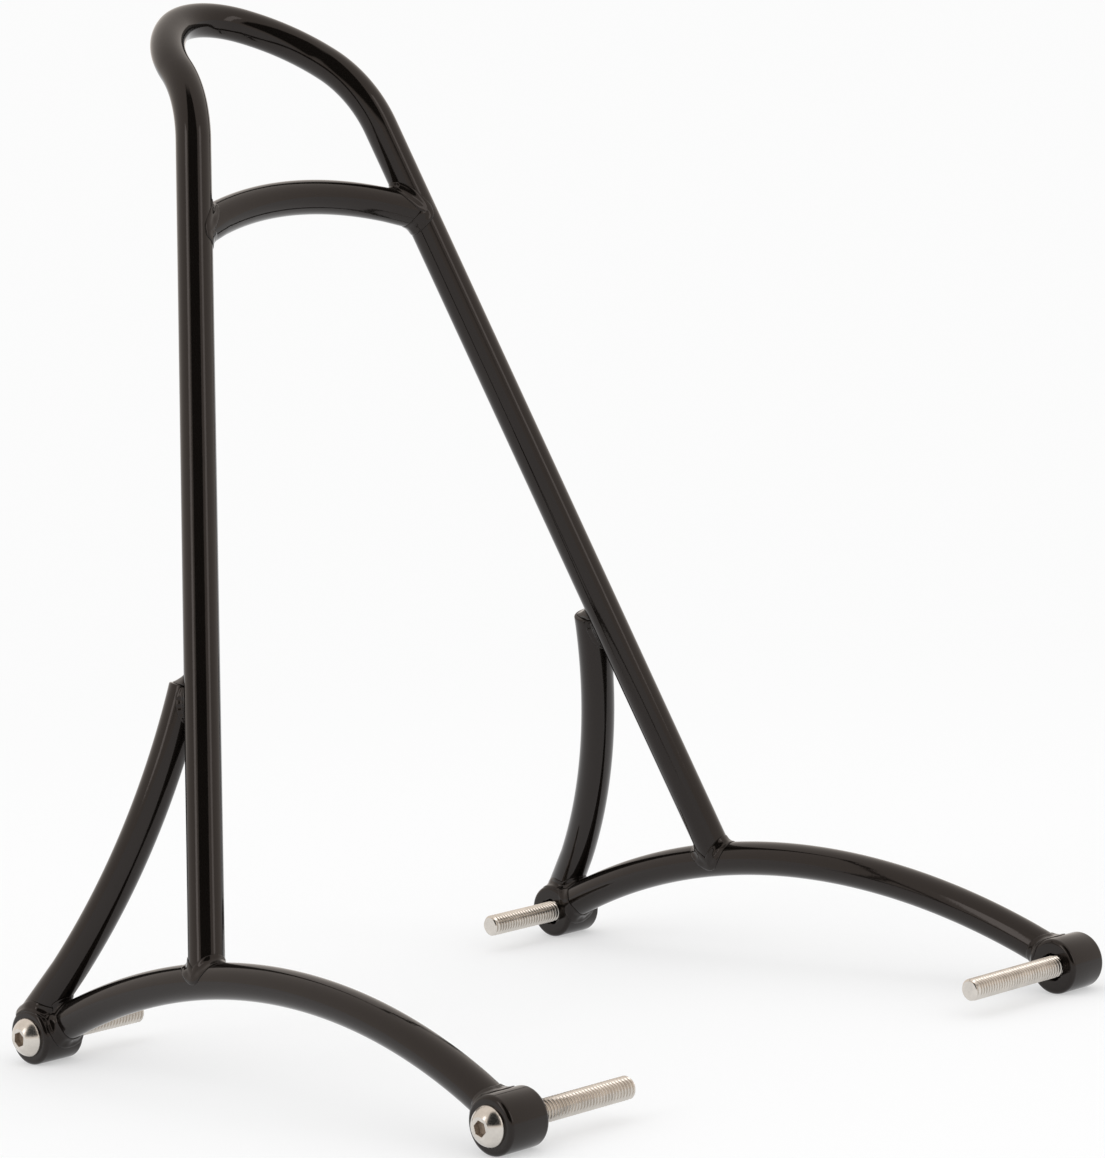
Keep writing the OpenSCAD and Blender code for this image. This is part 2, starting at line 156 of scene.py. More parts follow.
class SissyWelds(PropertyGroup):
    """The weld beads."""
    reach: length("Leg", "How far a bead reaches along each skin", 3.3)
    crown: length("Crown", "How much fuller a bead is than a hollow fillet", 0.3)
    cover: length("Cover", "Least thickness of a bead over the skins", 0.5)
    toe_sink: length("Toe depth", "How deep a bead's edge lies in a skin", 0.06)
    root_depth: length("Root depth", "How deep a bead's root lies in the joint", 0.6)
    ripple: length("Ripple", "Height of a bead's ripples", 0.07)
    ripple_steps: whole("Ripple steps", "Steps between ripples", 6)
    seam_steps: whole("Seam steps", "Steps along a bead", 72)
    section_steps: whole("Section steps", "Steps across a bead", 8)
    spread: number("Spread", "Pull of a bead's edges to its sides", 0.35)
    cap_reach: length("Cap leg", "How far the fill over a brace's end reaches", 7.7)
    cap_rise: length("Cap rise", "How far that fill climbs the upright", 4.4)
    cap_crown: length("Cap crown", "How much fuller that fill is than a hollow fillet", 1.5)
    cap_width: number("Cap width", "Share of the corner filled", 1.06)
    cap_steps: whole("Cap steps", "Steps along that fill", 24)
    smoothing: whole("Smoothing", "Levels of subdivision", 1)


class SissyFinish(PropertyGroup):
    """The finishes."""
    coat_colour: shade("Coat colour", "Colour of the gloss coat", (0.0042, 0.0033, 0.0027))
    coat_tint: shade("Coat tint", "Tint of the coat's reflections", (1.0, 0.90, 0.86))
    coat_roughness: number("Coat roughness", "Roughness of the coat", 0.085)
    steel_colour: shade("Steel colour", "Colour of the screws", (0.70, 0.66, 0.61))
    socket_colour: shade("Socket colour", "Colour in the sockets", (0.30, 0.235, 0.18))


class SissyStage(PropertyGroup):
    """The camera and the studio."""
    camera_at: FloatVectorProperty(name="Camera place", description="Where the camera stands",
                                   default=(-1.152605, -1.178502, 0.345179), size=3,
                                   subtype="TRANSLATION")
    lens: number("Focal length", "Focal length in millimetres", 145.89)
    white: number("Backdrop white", "Level of the white surround", 0.97)
    dark: number("Dark opening", "Level of the studio's dark opening", 0.02)
    soft: number("Soft light", "Strength of the light on dull surfaces", 1.04)
    warmth: shade("Reflected white", "Tint of the white in gloss", (1.0, 0.92, 0.85))


# Paths of the bars

def across(v, along):
    """The share of a vector that is square to a direction."""
    return v - along * v.dot(along)


def placing(at, x, z):
    """A placement with its Z along z and its X as near to x as that allows."""
    zc = z.normalized()
    xc = across(x, zc).normalized()
    return Matrix.LocRotScale(at, Matrix((xc, zc.cross(xc), zc)).transposed(), None)


class Arc:
    """An arc from a to b that bulges by the length and direction of bulge."""

    def __init__(self, a, b, bulge):
        chord, rise = (b - a).length, bulge.length
        self.radius = (chord * chord / 4 + rise * rise) / (2 * rise)
        self.centre = (a + b) / 2 + bulge.normalized() * (rise - self.radius)
        self.x = (a - self.centre).normalized()
        self.axis = (a - self.centre).cross(b - self.centre).normalized()
        self.y = self.axis.cross(self.x)
        self.turn = 2 * math.asin(chord / 2 / self.radius)

    def point(self, ang):
        return self.centre + self.radius * (math.cos(ang) * self.x + math.sin(ang) * self.y)

    def heading(self, ang):
        return math.cos(ang) * self.y - math.sin(ang) * self.x

    def distance(self, p):
        q = p - self.centre
        h = q.dot(self.axis)
        return math.hypot(h, (q - self.axis * h).length - self.radius)


def from_line(p, at, along):
    """The distance of a point from a line."""
    return across(p - at, along).length


class Paths:
    """The centrelines of the left side's bars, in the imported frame."""

    def __init__(self, b, m):
        self.r = b.bar_d / 2
        half = m.boss_spacing / 2
        spare = (m.boss_len - b.bar_d) / 2
        front = Vector((m.front_boss_x, -half, 0))
        rear = Vector((m.rear_boss_x, half, 0))
        rear_end = rear - Vector((spare - b.rail_rear_edge, 0, 0))
        front_end = front - Vector((spare - b.rail_front_edge, 0, 0))
        lean = Vector((-math.sin(b.rail_lean), 0, math.cos(b.rail_lean)))
        up = across(lean, (front_end - rear_end).normalized()).normalized()
        rail = Arc(rear_end, front_end, up * b.rail_rise)
        foot = rail.point(b.foot_from_rear / rail.radius)
        kick = Vector((b.kick_half, foot.y + (b.kick_z - foot.z) * math.tan(b.lean_back), b.kick_z))
        loop = Vector((0, math.cos(b.loop_slope), math.sin(b.loop_slope)))
        shoulder = Vector((b.shoulder_half, kick.y, kick.z)) + loop * b.shoulder_run
        crown = Vector((0, shoulder.y, shoulder.z)) + loop * b.crown_run
        far = Vector((-shoulder.x, shoulder.y, shoulder.z))
        room = (shoulder - kick).length - self.reach(foot, kick, shoulder, b.kick_r)
        self.shoulder_r = min(b.shoulder_r, self.limit(kick, shoulder, crown, room - b.bend_gap))
        room = (crown - shoulder).length - self.reach(kick, shoulder, crown, self.shoulder_r)
        self.crown_r = min(b.crown_r, self.limit(shoulder, crown, far, room - b.bend_gap))
        turn = self.turn(shoulder, crown, far) / 2
        crown_mid = crown - loop * (self.crown_r / math.cos(turn) - self.crown_r)
        move = -Vector((0, (crown_mid.y + self.r - half - m.boss_d / 2) / 2, -m.boss_d / 2))
        self.front, self.rear = front + move, rear + move
        self.rail = Arc(rear_end + move, front_end + move, up * b.rail_rise)
        self.foot, self.kick = foot + move, kick + move
        self.shoulder, self.crown = shoulder + move, crown + move
        self.upright = (kick - foot).normalized()
        end = self.on_upright(b.crossbar_z + move.z)
        bulge = Vector((0, math.cos(b.crossbar_slope), math.sin(b.crossbar_slope)))
        self.crossbar = Arc(end, Vector((-end.x, end.y, end.z)), bulge * b.crossbar_rise)
        low = self.rear + Vector((spare - b.brace_foot_edge, b.brace_foot_back, b.brace_foot_up))
        top = self.on_upright(b.brace_top_z + move.z) + Vector((0, b.brace_top_back, 0))
        forward = across(Vector((0, -1, 0)), (top - low).normalized()).normalized()
        self.brace = Arc(low, top, forward * b.brace_bow)
        self.boss_r, self.boss_half, self.boss_round = m.boss_d / 2, m.boss_len / 2, m.boss_round

    @staticmethod
    def turn(a, v, b):
        """The turn at the corner v of a line from a to b."""
        return (v - a).angle(b - v)

    def reach(self, a, v, b, r):
        """How far a bend of a radius reaches from its corner."""
        return r * math.tan(self.turn(a, v, b) / 2)

    def limit(self, a, v, b, room):
        """The largest bend radius that has room at a corner."""
        return room / math.tan(self.turn(a, v, b) / 2)

    def on_upright(self, z):
        return self.foot + self.upright * ((z - self.foot.z) / self.upright.z)

    # Signed distances of a point from the skins of the left side's bars and bosses
    def off_rail(self, p):
        return self.rail.distance(p) - self.r

    def off_upright(self, p):
        return from_line(p, self.foot, self.upright) - self.r

    def off_brace(self, p):
        return self.brace.distance(p) - self.r

    def off_crossbar(self, p):
        return self.crossbar.distance(p) - self.r

    def off_boss(self, p, at):
        """The distance from a boss, with its ends and rounded rims."""
        out = self.off_round(p, at) + self.boss_round
        end = abs(p.x - at.x) - self.boss_half + self.boss_round
        return math.hypot(max(out, 0), max(end, 0)) + min(max(out, end), 0) - self.boss_round

    def off_round(self, p, at):
        """The distance from the round side of a boss, as if it had no ends."""
        return math.hypot(p.y - at.y, p.z - at.z) - self.boss_r


# Mesh tools

def only(kind, found):
    return [x for x in found if isinstance(x, kind)]


def go_straight(bm, edges, move, steps):
    """Takes a ring along a straight line and gives the last ring."""
    for _ in range(steps):
        out = bmesh.ops.extrude_edge_only(bm, edges=edges)["geom"]
        fresh = set(only(BMVert, out))
        bmesh.ops.translate(bm, vec=move / steps, verts=list(fresh))
        edges = [e for e in only(BMEdge, out) if fresh.issuperset(e.verts)]
    return edges


def go_round(bm, edges, centre, axis, turn, steps):
    """Takes a ring round an axis and gives the last ring."""
    verts = list({v for e in edges for v in e.verts})
    out = bmesh.ops.spin(bm, geom=verts + edges, cent=centre, axis=axis, dvec=(0, 0, 0),
                         angle=turn, steps=steps, use_duplicate=False)["geom_last"]
    return only(BMEdge, out)


def turned(bm, points, at, axis, steps, rise=0.0, closed=False):
    """Turns an outline once round an axis. With a rise it climbs as a thread does."""
    verts = [bm.verts.new(point) for point in points]
    ends = verts[1:] + verts[:1] if closed else verts[1:]
    edges = [bm.edges.new(pair) for pair in zip(verts, ends)]
    bmesh.ops.spin(bm, geom=verts + edges, cent=at, axis=axis, dvec=axis * (rise / steps),
                   angle=2 * math.pi, steps=steps, use_merge=not rise, use_duplicate=False)


def straight_steps(move):
    return max(1, int(move.length / STRAIGHT_STEP))


def bent_path(bm, edges, points, radii):
    """Takes a ring along a line of points, with a bend of its own radius at each inner one."""
    at = points[0]
    for i, r in enumerate(radii):
        a, v, b = points[i], points[i + 1], points[i + 2]
        turn = (v - a).angle(b - v)
        reach = r * math.tan(turn / 2)
        into = v + (a - v).normalized() * reach
        edges = go_straight(bm, edges, into - at, straight_steps(into - at))
        along = (v - a).normalized()
        inward = across(b - v, along).normalized()
        edges = go_round(bm, edges, into + inward * r, along.cross(inward).normalized(), turn,
                         max(LEAST_BEND_STEPS, int(turn * BEND_STEPS)))
        at = v + (b - v).normalized() * reach
    return go_straight(bm, edges, points[-1] - at, straight_steps(points[-1] - at))


def along_line(heading):
    """A move of a point along a straight bar."""
    return lambda p, go: p + heading * go


def along_arc(arc, way):
    """A move of a point along an arched bar, towards its start (-1) or its end (1)."""
    def move(p, go):
        turn = Matrix.Rotation(way * go / arc.radius, 3, arc.axis)
        return arc.centre + turn @ (p - arc.centre)
    return move


def cope(bm, edges, move, off, most):
    """Runs a bar's end up to the skin that it meets, but no further than most."""
    ring = list({v for e in edges for v in e.verts})
    face = bmesh.ops.contextual_create(bm, geom=edges)["faces"]
    centre = bmesh.ops.poke(bm, faces=face)["verts"]
    for v in ring + centre:
        start, go = v.co.copy(), 0.0
        for _ in range(COPE_ROUNDS):
            go = min(go + off(move(start, go)), most)
        v.co = move(start, go)


def with_links(verts):
    """Vertices together with the edges and faces at them."""
    edges = {e for v in verts for e in v.link_edges}
    faces = {f for v in verts for f in v.link_faces}
    return [*verts, *edges, *faces]


def finish_mesh(bm, name, node, material, sharp=40, side=1):
    """Turns a mesh into a piece that stands for a node. The right side is a mirror image."""
    if side < 0:
        bmesh.ops.scale(bm, vec=(-1, 1, 1), verts=bm.verts)
    bmesh.ops.recalc_face_normals(bm, faces=bm.faces)
    limit = math.radians(sharp)
    for e in bm.edges:
        e.smooth = not (len(e.link_faces) == 2 and e.calc_face_angle(0) > limit)
    for f in bm.faces:
        f.smooth = True
    mesh = bpy.data.meshes.new(name)
    bm.to_mesh(mesh)
    bm.free()
    piece = bpy.data.objects.new(name, mesh)
    bpy.context.scene.collection.objects.link(piece)
    mesh.materials.append(material)
    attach(piece, "root")
    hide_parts(node)
    return piece


# Materials

class Nodes:
    """A small helper that adds and links shader nodes."""

    def __init__(self, tree):
        self.tree = tree
        tree.nodes.clear()

    def add(self, kind, sockets=(), **values):
        node = self.tree.nodes.new("ShaderNode" + kind)
        for key, value in values.items():
            setattr(node, key, value)
        self.put(node, dict(sockets).items())
        return node

    def put(self, node, sockets):
        """Sets or links the sockets of a node."""
        for key, value in sockets:
            if hasattr(value, "is_output"):
                self.tree.links.new(value, node.inputs[key])
            else:
                node.inputs[key].default_value = value

    def noise(self, where, scale, detail=3.0, roughness=0.5):
        return self.add("TexNoise", {"Vector": where, "Scale": scale, "Detail": detail,
                                     "Roughness": roughness}).outputs["Fac"]

    def spread(self, value, low, high, start=0.3, stop=0.7):
        return self.add("MapRange", {"Value": value, "From Min": start, "From Max": stop,
                                     "To Min": low, "To Max": high}).outputs["Result"]

    def blend(self, factor, a, b):
        node = self.add("Mix", data_type="RGBA")
        self.put(node, ((0, factor), (6, a), (7, b)))
        return node.outputs[2]

    def maths(self, operation, a, b=0.0):
        node = self.add("Math", operation=operation)
        self.put(node, ((0, a), (1, b)))
        return node.outputs[0]

    def end(self, shader):
        out = self.add("OutputMaterial")
        self.tree.links.new(shader, out.inputs["Surface"])


def tone(colour, gain=1.0):
    """A colour for a socket, made lighter or darker by a gain."""
    return (*(c * gain for c in colour), 1.0)


def fresh_material(name):
    """A material and its nodes, or no nodes where the material is there already."""
    found = bpy.data.materials.get(name)
    if found:
        return found, None
    material = bpy.data.materials.new(name)
    material.use_nodes = True
    return material, Nodes(material.node_tree)


def gloss_coat(f, welded=False):
    """Gloss black powder coat: orange peel, cloudy gloss and a few duller specks."""
    name = "coat_on_weld" if welded else "gloss_coat"
    material, n = fresh_material(name)
    if not n:
        return material
    where = n.add("TexCoord").outputs["Object"]
    peel = n.noise(where, 700 if welded else 900, 2.0)
    flow = n.noise(where, 140, 3.0)
    cloud = n.noise(where, 22, 4.0, 0.6)
    fleck = n.spread(n.noise(where, 2600, 1.0), 0.0, 1.0, 0.66, 0.74)
    dark = n.blend(n.spread(cloud, 0, 1), tone(f.coat_colour, 0.86), tone(f.coat_colour, 1.16))
    dust = tone((0.016, 0.014, 0.012))
    colour = n.blend(n.maths("MULTIPLY", fleck, 0.35), dark, dust)
    rough = n.spread(cloud, f.coat_roughness * 0.8, f.coat_roughness * 1.25)
    rough = n.maths("ADD", rough, n.maths("MULTIPLY", fleck, 0.06))
    low = n.add("Bump", {"Strength": 0.16 if welded else 0.05, "Distance": 0.0006,
                         "Height": flow})
    high = n.add("Bump", {"Strength": 0.035, "Distance": 0.0002, "Height": peel,
                          "Normal": low.outputs["Normal"]})
    n.end(n.add("BsdfPrincipled", {
        "Base Color": colour, "Roughness": rough, "IOR": 1.5, "Specular IOR Level": 0.4,
        "Specular Tint": tone(f.coat_tint), "Normal": high.outputs["Normal"]}).outputs["BSDF"])
    return material


def stainless(f):
    """Bright stainless steel: fine turned lines across the axis and soft stains."""
    material, n = fresh_material("stainless")
    if not n:
        return material
    where = n.add("TexCoord").outputs["Object"]
    long = n.add("Mapping", {"Vector": where, "Scale": (9.0, 1.0, 1.0)}).outputs["Vector"]
    lines = n.noise(long, 1500, 3.0, 0.6)
    cloud = n.noise(where, 180, 4.0, 0.6)
    colour = n.blend(n.spread(cloud, 0, 1), tone(f.steel_colour, 0.86), tone(f.steel_colour, 1.08))
    colour = n.blend(n.spread(lines, 0, 0.3), colour, tone(f.steel_colour, 0.7))
    rough = n.spread(cloud, 0.16, 0.27)
    bump = n.add("Bump", {"Strength": 0.12, "Distance": 0.00005, "Height": lines})
    n.end(n.add("BsdfPrincipled", {
        "Base Color": colour, "Metallic": 1.0, "Roughness": rough,
        "Normal": bump.outputs["Normal"]}).outputs["BSDF"])
    return material


def socket_steel(f):
    """A darker, duller and browner steel in a screw's socket than on its head, in lighter and darker
    blotches.
    """
    material, n = fresh_material("socket_steel")
    if not n:
        return material
    where = n.add("TexCoord").outputs["Object"]
    # Noise for lighter and darker blotches in the socket's colour, roughness and bumps
    blotch = n.noise(where, 900, 4.0, 0.6)
    colour = n.blend(n.spread(blotch, 0, 1), tone(f.socket_colour, 0.7), tone(f.socket_colour, 1.3))
    bump = n.add("Bump", {"Strength": 0.3, "Distance": 0.0001, "Height": blotch})
    n.end(n.add("BsdfPrincipled", {
        "Base Color": colour, "Metallic": 0.35, "Roughness": n.spread(blotch, 0.35, 0.55),
        "Normal": bump.outputs["Normal"]}).outputs["BSDF"])
    return material


# Operators

class PieceOperator:
    """What the builders of the pieces have in common."""
    bl_options = {"REGISTER", "UNDO"}

    def execute(self, context):
        scene = context.scene
        self.bars, self.mounts = scene.sissy_bars, scene.sissy_mounts
        self.welds, self.finish = scene.sissy_welds, scene.sissy_finish
        self.paths = Paths(self.bars, self.mounts)
        self.build()
        return {"FINISHED"}

    def begin_bar(self, at, heading):
        """A mesh with a bar's first ring of edges, square to its heading."""
        bm = bmesh.new()
        side = X_AXIS if abs(heading.x) < 0.8 else Y_AXIS  # the one that the bar isn't along
        out = bmesh.ops.create_circle(bm, cap_ends=False, segments=self.bars.ring_steps,
                                      radius=self.paths.r, matrix=placing(at, side, heading))
        return bm, list({e for v in out["verts"] for e in v.link_edges})

    def arched(self, arc, start, stop, steps):
        """A bar along an arc between two angles, with its first and last rings."""
        bm, first = self.begin_bar(arc.point(start), arc.heading(start))
        return bm, first, go_round(bm, first, arc.centre, arc.axis, stop - start, steps)


class SISSY_OT_hoop(PieceOperator, Operator):
    """Build the hoop and the crossbar"""
    bl_idname = "sissy.hoop"
    bl_label = "Hoop and crossbar"

    def build(self):
        p, b = self.paths, self.bars
        coat = gloss_coat(self.finish)

        def far(v):
            return Vector((-v.x, v.y, v.z))

        def off_far_rail(v):
            return p.off_rail(far(v))

        start = p.foot + p.upright * b.bar_d
        points = [start, p.kick, p.shoulder, p.crown, far(p.shoulder), far(p.kick), far(start)]
        radii = [b.kick_r, p.shoulder_r, p.crown_r, p.shoulder_r, b.kick_r]
        bm, first = self.begin_bar(start, p.kick - start)
        last = bent_path(bm, first, points, radii)
        cope(bm, first, along_line(-p.upright), p.off_rail, b.bar_d)
        cope(bm, last, along_line(-far(p.upright)), off_far_rail, b.bar_d)
        finish_mesh(bm, "hoop_bar", "hoop", coat)

        arc = p.crossbar
        inset = b.bar_d / arc.radius
        bm, first, last = self.arched(arc, inset, arc.turn - inset, CROSSBAR_STEPS)
        cope(bm, first, along_arc(arc, -1), p.off_upright, b.bar_d)
        cope(bm, last, along_arc(arc, 1), lambda v: p.off_upright(far(v)), b.bar_d)
        finish_mesh(bm, "crossbar_bar", "crossbar", coat)


class SISSY_OT_rails(PieceOperator, Operator):
    """Build the two arched side rails"""
    bl_idname = "sissy.rails"
    bl_label = "Side rails"

    def build(self):
        p = self.paths
        coat = gloss_coat(self.finish)
        most = p.boss_r + self.bars.bar_d / 2
        inset = most / p.rail.radius
        for name, side in SIDES.items():
            bm, first, last = self.arched(p.rail, inset, p.rail.turn - inset, RAIL_STEPS)
            cope(bm, first, along_arc(p.rail, -1), lambda v: p.off_round(v, p.rear), most)
            cope(bm, last, along_arc(p.rail, 1), lambda v: p.off_round(v, p.front), most)
            finish_mesh(bm, name + "_rail_bar", name + "_rail", coat, side=side)


class SISSY_OT_braces(PieceOperator, Operator):
    """Build the two bowed rear braces"""
    bl_idname = "sissy.braces"
    bl_label = "Rear braces"

    def round_tip(self, bm, ring):
        """Ends a brace in a flat tip with a rounded edge."""
        p, size = self.paths, self.bars.tip_round
        end, ahead = p.brace.point(p.brace.turn), p.brace.heading(p.brace.turn)
        turns = [math.radians(turn) for turn in TIP_TURNS]
        for before, turn in zip(turns, turns[1:]):
            lift = size * (math.sin(turn) - math.sin(before))
            ring = go_straight(bm, ring, ahead * lift, 1)
            r = p.r - size * (1 - math.cos(turn))
            for v in {v for e in ring for v in e.verts}:
                out = across(v.co - end, ahead)
                v.co += out.normalized() * (r - out.length)
        bmesh.ops.contextual_create(bm, geom=ring)

    def hollow_for_upright(self, bm):
        """Presses what lies inside the upright back to its skin."""
        p = self.paths
        for v in bm.verts:
            deep = p.off_upright(v.co)
            if deep < 0:
                out = across(v.co - p.foot, p.upright)
                v.co -= out.normalized() * deep

    def build(self):
        p, b = self.paths, self.bars
        coat = gloss_coat(self.finish)
        arc = p.brace
        most = p.boss_r + b.bar_d

        def off_foot(v):
            return min(p.off_round(v, p.rear), p.off_rail(v))

        for name, side in SIDES.items():
            bm, first, last = self.arched(arc, most / arc.radius,
                                          arc.turn - b.tip_round / arc.radius, BRACE_STEPS)
            cope(bm, first, along_arc(arc, -1), off_foot, most)
            self.round_tip(bm, last)
            self.hollow_for_upright(bm)
            finish_mesh(bm, name + "_brace_bar", name + "_brace", coat, side=side)


class SISSY_OT_bosses(PieceOperator, Operator):
    """Build the four turned bosses"""
    bl_idname = "sissy.bosses"
    bl_label = "Bosses"

    def build(self):
        p, m = self.paths, self.mounts
        coat = gloss_coat(self.finish)
        half, r, rim = m.boss_len / 2, m.boss_d / 2, m.boss_round
        bore, edge = m.boss_bore / 2, m.bore_edge
        turns = [math.pi / 2 * i / RIM_STEPS for i in range(RIM_STEPS + 1)]
        rims = [(half - rim * (1 - math.sin(t)), r - rim * (1 - math.cos(t))) for t in turns]
        outline = [(-half + edge, bore), (-half, bore + edge)]
        outline += [(-x, y) for x, y in reversed(rims)]
        outline += rims
        outline += [(half, bore + edge), (half - edge, bore)]
        for end, at in (("front", p.front), ("rear", p.rear)):
            for name, side in SIDES.items():
                bm = bmesh.new()
                turned(bm, [at + Vector((x, 0, y)) for x, y in outline], at, X_AXIS, BOSS_STEPS,
                       closed=True)
                node = "%s_%s_boss" % (end, name)
                finish_mesh(bm, node + "_sleeve", node, coat, sharp=35, side=side)


class SISSY_OT_screws(PieceOperator, Operator):
    """Build the four button-head screws with their threads"""
    bl_idname = "sissy.screws"
    bl_label = "Screws"
    socket_turn = {"front": math.radians(17), "rear": math.radians(40)}
    edge = 0.05 * MM

    def head_and_grip(self, bm):
        """The dome, rim and grip. A screw's head lies below z = 0 and its shank above."""
        m = self.mounts
        rim, flat, big = m.head_h * RIM_SHARE, m.head_d * FLAT_SHARE, m.head_d / 2
        dome_h = m.head_h - rim
        dome_r = math.hypot(big, (big * big - flat * flat - dome_h * dome_h) / (2 * dome_h))
        centre = rim - math.sqrt(dome_r * dome_r - big * big)
        low = math.atan2(rim - centre, big)
        high = math.atan2(m.head_h - centre, flat)
        outline = [(dome_r * math.cos(t), -(centre + dome_r * math.sin(t)))
                   for t in (high + (low - high) * i / DOME_STEPS for i in range(DOME_STEPS + 1))]
        edge, shank = self.edge, m.screw_d / 2
        neck = 4 * edge
        outline += [(big, -edge), (big - edge, 0), (shank + neck, 0), (shank, neck),
                    (shank, m.grip - neck), (shank - neck, m.grip), (shank / 2, m.grip)]
        turned(bm, [(x, 0, z) for x, z in outline], (0, 0, 0), Z_AXIS, HEAD_STEPS)

    def socket(self, bm):
        """The flat top with its hexagon socket and the drill's cone at the bottom."""
        m = self.mounts
        z, af = -m.head_h, m.socket_af / 2
        rim = {v for e in bm.edges if e.is_boundary for v in e.verts
               if abs(v.co.z - z) < self.edge}

        def hexagon(size, height):
            verts = []
            for i in range(HEAD_STEPS):
                t = 2 * math.pi * i / HEAD_STEPS
                r = size / math.cos((t + math.pi / 6) % (math.pi / 3) - math.pi / 6)
                verts.append(bm.verts.new((r * math.cos(t), r * math.sin(t), height)))
            return verts

        def by_angle(v):
            step = math.atan2(v.co.y, v.co.x) * HEAD_STEPS / (2 * math.pi)
            return round(step) % HEAD_STEPS

        loops = [sorted(rim, key=by_angle), hexagon(af + m.socket_edge, z),
                 hexagon(af, z + m.socket_edge), hexagon(af, z + m.socket_deep - m.socket_cone)]
        for outer, inner in zip(loops, loops[1:]):
            ring = [bm.faces.new((outer[i - 1], outer[i], inner[i], inner[i - 1]))
                    for i in range(HEAD_STEPS)]
        cap = bm.faces.new(loops[-1])
        cone = bmesh.ops.poke(bm, faces=[cap])
        bmesh.ops.translate(bm, vec=(0, 0, m.socket_cone), verts=cone["verts"])
        for f in ring + cone["faces"]:
            f.material_index = 1
        bmesh.ops.contextual_create(bm, geom=[e for e in bm.edges if e.is_boundary])

    def thread(self, bm, long):
        """A right-hand thread, cut square at both ends and chamfered at the free one."""
        m = self.mounts
        pitch, crest = m.thread_pitch, m.screw_d / 2
        root = crest - THREAD_DEPTH * pitch
        # Places along one pitch, as shares of it: a root, a flank, a crest, a flank and a root
        outline = [(0, root), (1 / 8, root), (7 / 16, crest), (9 / 16, crest), (7 / 8, root),
                   (1, root)]
        first, last = m.grip - pitch, long
        turns = int((last - first) / pitch) + 3  # a few too many, and the ends are cut off
        head = set(bm.verts)
        turned(bm, [(r, 0, first + (s - 1) * pitch) for s, r in outline], (0, 0, 0), Z_AXIS,
               THREAD_STEPS, rise=pitch)

        def made():
            return [v for v in bm.verts if v not in head]

        turn = with_links(made())
        for i in range(1, turns):
            copy = bmesh.ops.duplicate(bm, geom=turn)["geom"]
            bmesh.ops.translate(bm, vec=(0, 0, i * pitch), verts=only(BMVert, copy))
        bmesh.ops.remove_doubles(bm, verts=made(), dist=2e-6)
        for plane, way in ((first, -1), (last, 1)):
            cut = bmesh.ops.bisect_plane(bm, geom=with_links(made()), dist=1e-8,
                                         plane_co=(0, 0, plane), plane_no=(0, 0, way),
                                         clear_outer=True)["geom_cut"]
            bmesh.ops.contextual_create(bm, geom=only(BMEdge, cut))
        for v in made():
            limit = crest - max(0, v.co.z - long + m.screw_chamfer)
            r = math.hypot(v.co.x, v.co.y)
            if r > limit:
                v.co.x *= limit / r
                v.co.y *= limit / r

    def build(self):
        p, m = self.paths, self.mounts
        steel, inner = stainless(self.finish), socket_steel(self.finish)
        for end, at, long in (("front", p.front, m.front_screw_len),
                              ("rear", p.rear, m.rear_screw_len)):
            for name, side in SIDES.items():
                bm = bmesh.new()
                self.head_and_grip(bm)
                self.socket(bm)
                self.thread(bm, long)
                seat = Vector((side * (at.x + m.boss_len / 2), at.y, at.z))
                place = placing(seat, Z_AXIS, X_AXIS * -side)
                turn = Matrix.Rotation(self.socket_turn[end], 4, "Z")
                bmesh.ops.transform(bm, verts=bm.verts, matrix=place @ turn)
                node = "%s_%s_screw" % (end, name)
                piece = finish_mesh(bm, node + "_steel", node, steel, sharp=30)
                piece.data.materials.append(inner)


